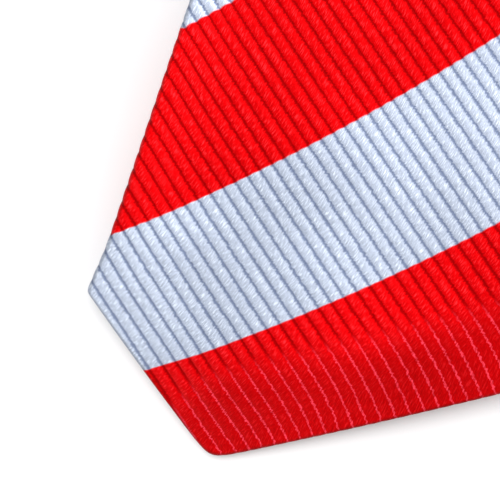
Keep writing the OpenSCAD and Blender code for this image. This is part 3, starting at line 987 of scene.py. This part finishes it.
def interlinings():
    blade = layer("blade_interlining_felt", BLADE, spaced(FELT_FROM, BLADE_LEN, 7), FELT_INSET,
                  FELT_HEM_INSET, FELT_TOP, FELT_LOW, felt)
    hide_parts("point_interlining", "blade_interlining")
    flat, area = pointed_strip(blade_half, FELT_INSET, FELT_FROM, BLADE_LEN, 55)
    bend_with_point(blade)
    fold = layer("neck_fold_interlining_felt", NECK, spaced(BLADE_LEN, BLADE_LEN + FOLD_ARC, 0.6),
                 FELT_INSET, 0, FELT_TOP, FELT_LOW, felt)
    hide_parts("neck_fold_interlining")
    flat = ((NECK_W - 2 * FELT_INSET) * MM, LEAST_FLAT)
    turn_with_fold(fold)
    tail_len = TIE_LEN - BLADE_LEN - FOLD_ARC
    tail = layer("tail_interlining_felt", TAIL, spaced(FELT_FROM, tail_len, 8), FELT_INSET,
                 FELT_HEM_INSET, FELT_TOP, FELT_LOW, felt, half_turn)
    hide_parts("tail_interlining")
    flat, area = pointed_strip(tail_half, FELT_INSET, FELT_FROM, tail_len, 36)
    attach(tail, "tail")


LINING_INSET, LINING_HEM_INSET, LINING_FROM = 2.6, 1.6, 9.0
BLADE_LINING_TO, TAIL_LINING_TO = 134.0, 68.0
LINING_TOP, LINING_LOW = lambda h: -h + 1.15, lambda h: -h + 0.8


def linings():
    blade = layer("blade_lining", BLADE, spaced(LINING_FROM, BLADE_LINING_TO, 2.5), LINING_INSET,
                  LINING_HEM_INSET, LINING_TOP, LINING_LOW, lining_satin)
    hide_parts("blade_tipping")
    flat, area = pointed_strip(blade_half, LINING_INSET, LINING_FROM, BLADE_LINING_TO, 44)
    bend_with_point(blade)
    tail = layer("tail_lining", TAIL, spaced(LINING_FROM, TAIL_LINING_TO, 2), LINING_INSET,
                 LINING_HEM_INSET, LINING_TOP, LINING_LOW, lining_satin, half_turn)
    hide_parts("tail_tipping")
    flat, area = pointed_strip(tail_half, LINING_INSET, LINING_FROM, TAIL_LINING_TO, 26)
    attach(tail, "tail")


# ---------------------------------------------------------------- loop, labels and stitches
def band(path, width, thick, steps=10):
    """A flat band of cloth with rounded edges along a path of x, z; its width lies along y."""
    path = np.array(path)
    ring = []
    for k in range(2 * steps):
        a = 2 * math.pi * k / (2 * steps)
        c, s = math.cos(a), math.sin(a)
        flat = width / 2 - thick / 2
        ring.append((math.copysign(flat, c) * min(1, abs(c) * 4) + c * thick / 2, s * thick / 2))
    ring = np.array(ring)
    points = [(x, dy, z + dz) for x, z in path for dy, dz in ring]
    count = len(ring)
    faces = []
    for i in range(len(path) - 1):
        for j in range(count):
            a, b = i * count + j, i * count + (j + 1) % count
            faces.append((a, b, b + count, a + count))
    for row in (0, len(path) - 1):
        at = row * count
        for j in range(steps - 1):
            faces.append((at + j, at + j + 1, at + 2 * steps - 2 - j, at + 2 * steps - 1 - j))
    return np.array(points, float), faces


def keeper_loop():
    half, top = LOOP_SPAN / 2, BACK_REST
    xs = np.concatenate([
        spaced(-half, -half + 8, 0.8), spaced(-half + 9, half - 9, 2), spaced(half - 8, half, 0.8)])
    low = 0.55 * ease((half - 5 - np.abs(xs)) / 3)
    points, faces = band(list(zip(xs, top - 0.32 - low)), LOOP_W, 0.6)
    x, y, z = points.T
    placed = np.stack([x, y + POINT_Y + LOOP_AT, z], -1) * MM
    mesh = closed_mesh("keeper_loop_silk", placed, faces, silk)
    set_attribute(mesh, "across", plain_across(x, y) + 1.0)
    set_attribute(mesh, "along", plain_along(x, y) * 0.6 + 0.5 * STRIPE_W)
    loop = add_object("keeper_loop_silk", mesh)
    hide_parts("keeper_loop")
    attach(loop, "blade")


def label(name, node, y, z, w, h, thick, body, rests_on):
    """A blank woven label with softened edges, lying flat on the back."""
    xs = np.concatenate([[-w / 2, -w / 2 + 0.15], spaced(-w / 2 + 1, w / 2 - 1, 2), [w / 2 - 0.15, w / 2]])
    dip = 0.06 * ease((w / 2 - np.abs(xs)) / 1.5)
    points, faces = band(list(zip(xs, z + dip - 0.03)), h, thick - 0.06, 8)
    made = add_object(name, closed_mesh(name, (points + [0, y, 0]) * MM, faces, tape))
    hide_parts(node)
    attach(made, body)


def stitches(name, node, paths, pitch, length, body, slant=0.0):
    """Rows of stitches along paths given as lists of points in metres."""
    points, edges = [], []
    for path in paths:
        edges += [(len(points) + i, len(points) + i + 1) for i in range(len(path) - 1)]
        points += [tuple(p) for p in path]
    mesh = bpy.data.meshes.new(name)
    mesh.from_pydata(points, edges, [])
    made = add_object(name, mesh)
    run_tree(made, stitch_tree, {
        "Pitch": pitch * MM, "Length": length * MM, "Radius": THREAD_R * MM,
        "Slant": slant, "Finish": red_thread})
    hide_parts(node)
    if body == "bend":
        bend_with_point(made)
    else:
        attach(made, body)


def on_back(panel, x, s, out, turn=None):
    """Places on the back, lifted out by a little, in metres."""
    x, s = np.asarray(x, float), np.asarray(s, float)
    points = np.stack([x, s, -panel.half_thickness(x, s) - out], -1)
    return fold_up(points if turn is None else turn(points))


def hem_path(panel, side, s_from, s_to, turn=None):
    s = spaced(s_from, s_to, 2)
    x = np.array([side_at(panel, v, side, HEM + 0.5, HEM + 0.5) for v in s])
    return on_back(panel, x, s, -0.55, turn)


def end_stitches(name, node, y, z, half_across, half_along, body):
    """A row of stitches down each of the two ends of a sewn-on piece."""
    ends = [[(x * MM, (y - half_along) * MM, z * MM), (x * MM, (y + half_along) * MM, z * MM)]
            for x in (-half_across, half_across)]
    stitches(name, node, ends, STITCH_PITCH, STITCH_LEN, body)


def sewing():
    for name, node, seam, body in (("blade_join_thread", "blade_join_seam", BLADE_SEAM, "blade"),
                                   ("tail_join_thread", "tail_join_seam", TIE_LEN - TAIL_SEAM, "tail")):
        x = spaced(3.5 - NECK_W / 2, NECK_W / 2 - 3.5, 2)
        s = seam - RIB_SLOPE * x
        face = np.stack([x, s, 0.7 * NECK.half_thickness(x, s)], -1)
        stitches(name, node, [fold_up(face)], STITCH_PITCH, JOIN_STITCH_LEN, body)
    s = spaced(BRAND_AT + BRAND_H, BLADE_SEAM - 5, 4)
    rows = [on_back(BLADE, 0 * s, s, 0.0)]
    stitches("blade_slip_thread", "blade_slip_stitch", rows, SLIP_PITCH, SLIP_LEN, "blade", SLIP_SLANT)
    s = spaced(CARE_AT + CARE_H, TAIL_SEAM - 5, 4)
    rows = [on_back(TAIL, 0 * s, s, 0.0, half_turn)]
    stitches("tail_slip_thread", "tail_slip_stitch", rows, SLIP_PITCH, SLIP_LEN, "tail", SLIP_SLANT)
    x = np.zeros(2)
    rows = [on_back(BLADE, x, np.array([CREST_END - 1.1, CREST_END + 1.1]), 0.05)]
    stitches("blade_bar_tack_thread", "blade_bar_tack", rows, TACK_PITCH, TACK_LEN, "blade", math.pi / 2)
    rows = [on_back(TAIL, x, np.array([TAIL_CLOSE + 1.1, TAIL_CLOSE + 3.3]), 0.05, half_turn)]
    stitches("tail_bar_tack_thread", "tail_bar_tack", rows, TACK_PITCH, TACK_LEN, "tail", math.pi / 2)
    hems = [hem_path(BLADE, side, 20, 62) for side in (-1, 1)]
    stitches("blade_hem_thread", "tipping_hem_stitches", hems, STITCH_PITCH, STITCH_LEN, "bend")
    hems = [hem_path(TAIL, side, 20, 38, half_turn) for side in (-1, 1)]
    stitches("tail_hem_thread", "tail_hem_stitches", hems, STITCH_PITCH, STITCH_LEN, "tail")
    end_stitches("loop_thread", "keeper_loop_stitches", POINT_Y + LOOP_AT, BACK_REST - 0.6, 26, 6, "blade")
    end_stitches("maker_label_thread", "brand_label_stitches", POINT_Y + BRAND_AT, BACK_REST - 0.32,
                 BRAND_W / 2 - 1.2, 10.5, "blade")
    end_stitches("care_label_thread", "care_label_stitches", CARE_Y, 2 * HALF_T + 0.32,
                 CARE_W / 2 - 1.2, 14, "tail")


# ---------------------------------------------------------------- table, light and camera
SKY_TOWARDS, SKY_DARK, SKY_BRIGHT = (-0.20, 0.62, 0.76), 0.11, 1.09
SUN_ALONG, SUN_POWER, SUN_SPREAD = (0.14, -0.44, -0.89), 2.2, math.radians(24)
CAMERA_TILT, CAMERA_ROLL = math.radians(20), math.radians(17.53)
CAMERA_AWAY = 1.5  # metres
AIM_X, AIM_S, AIM_Z = -14.185, 45.22, 8.0  # s is from the blade's point
SENSOR_W = 36.0
VIEW_W = 94.6253  # how much of the tie's plane the picture takes in, in millimetres


def table_top():
    half = 15.0  # metres
    corners = [(-half, -half, 0), (half, -half, 0), (half, half, 0), (-half, half, 0)]
    mesh = bpy.data.meshes.new("table")
    mesh.from_pydata(corners, [], [(0, 1, 2, 3)])
    mesh.materials.append(make_table())
    add_object("table", mesh)


def light():
    world = bpy.data.worlds.new("studio")
    bpy.context.scene.world = world
    world.use_nodes = True
    nodes, links = world.node_tree.nodes, world.node_tree.links
    where = nodes.new("ShaderNodeTexCoord")
    lean = nodes.new("ShaderNodeVectorMath")
    lean.operation = "DOT_PRODUCT"
    lean.inputs[1].default_value = SKY_TOWARDS
    links.new(where.outputs["Generated"], lean.inputs[0])
    ramp = nodes.new("ShaderNodeMapRange")
    for label, v in (("From Min", -1.0), ("From Max", 1.0), ("To Min", SKY_DARK), ("To Max", SKY_BRIGHT)):
        ramp.inputs[label].default_value = v
    links.new(lean.outputs["Value"], ramp.inputs["Value"])
    links.new(ramp.outputs["Result"], nodes["Background"].inputs["Strength"])
    nodes["Background"].inputs["Color"].default_value = (1, 1, 1, 1)
    sun = bpy.data.lights.new("window", "SUN")
    sun.energy = SUN_POWER
    sun.angle = SUN_SPREAD
    lamp = bpy.data.objects.new("window", sun)
    bpy.context.scene.collection.objects.link(lamp)
    lamp.rotation_euler = Vector(SUN_ALONG).to_track_quat("-Z", "Y").to_euler()


def camera():
    tilt, roll = CAMERA_TILT, CAMERA_ROLL
    back = Vector((0, math.sin(tilt), math.cos(tilt)))
    across, up = Vector((1, 0, 0)), Vector((0, math.cos(tilt), -math.sin(tilt)))
    right = across * math.cos(roll) + up * math.sin(roll)
    top = -across * math.sin(roll) + up * math.cos(roll)
    aim = Vector((AIM_X, POINT_Y + AIM_S, AIM_Z)) * MM
    lens = bpy.data.cameras.new("camera")
    lens.sensor_width = SENSOR_W
    lens.lens = SENSOR_W * CAMERA_AWAY / (VIEW_W * MM)
    lens.clip_start, lens.clip_end = 0.1, 60
    eye = bpy.data.objects.new("camera", lens)
    bpy.context.scene.collection.objects.link(eye)
    turn = Matrix((right, top, back)).transposed().to_4x4()
    eye.matrix_world = Matrix.Translation(aim + back * CAMERA_AWAY) @ turn
    bpy.context.scene.camera = eye
    bpy.context.scene.view_settings.view_transform = "Standard"


blade_shell()
neck_shells()
tail_shell()
interlinings()
linings()
keeper_loop()
label("maker_label", "brand_label", POINT_Y + BRAND_AT, BACK_REST - 0.15, BRAND_W, BRAND_H, 0.3,
      "blade", "blade_silk")
label("care_label_tape", "care_label", CARE_Y, 2 * HALF_T + 0.15, CARE_W, CARE_H, 0.3, "tail", "tail_silk")
sewing()
table_top()
light()
camera()
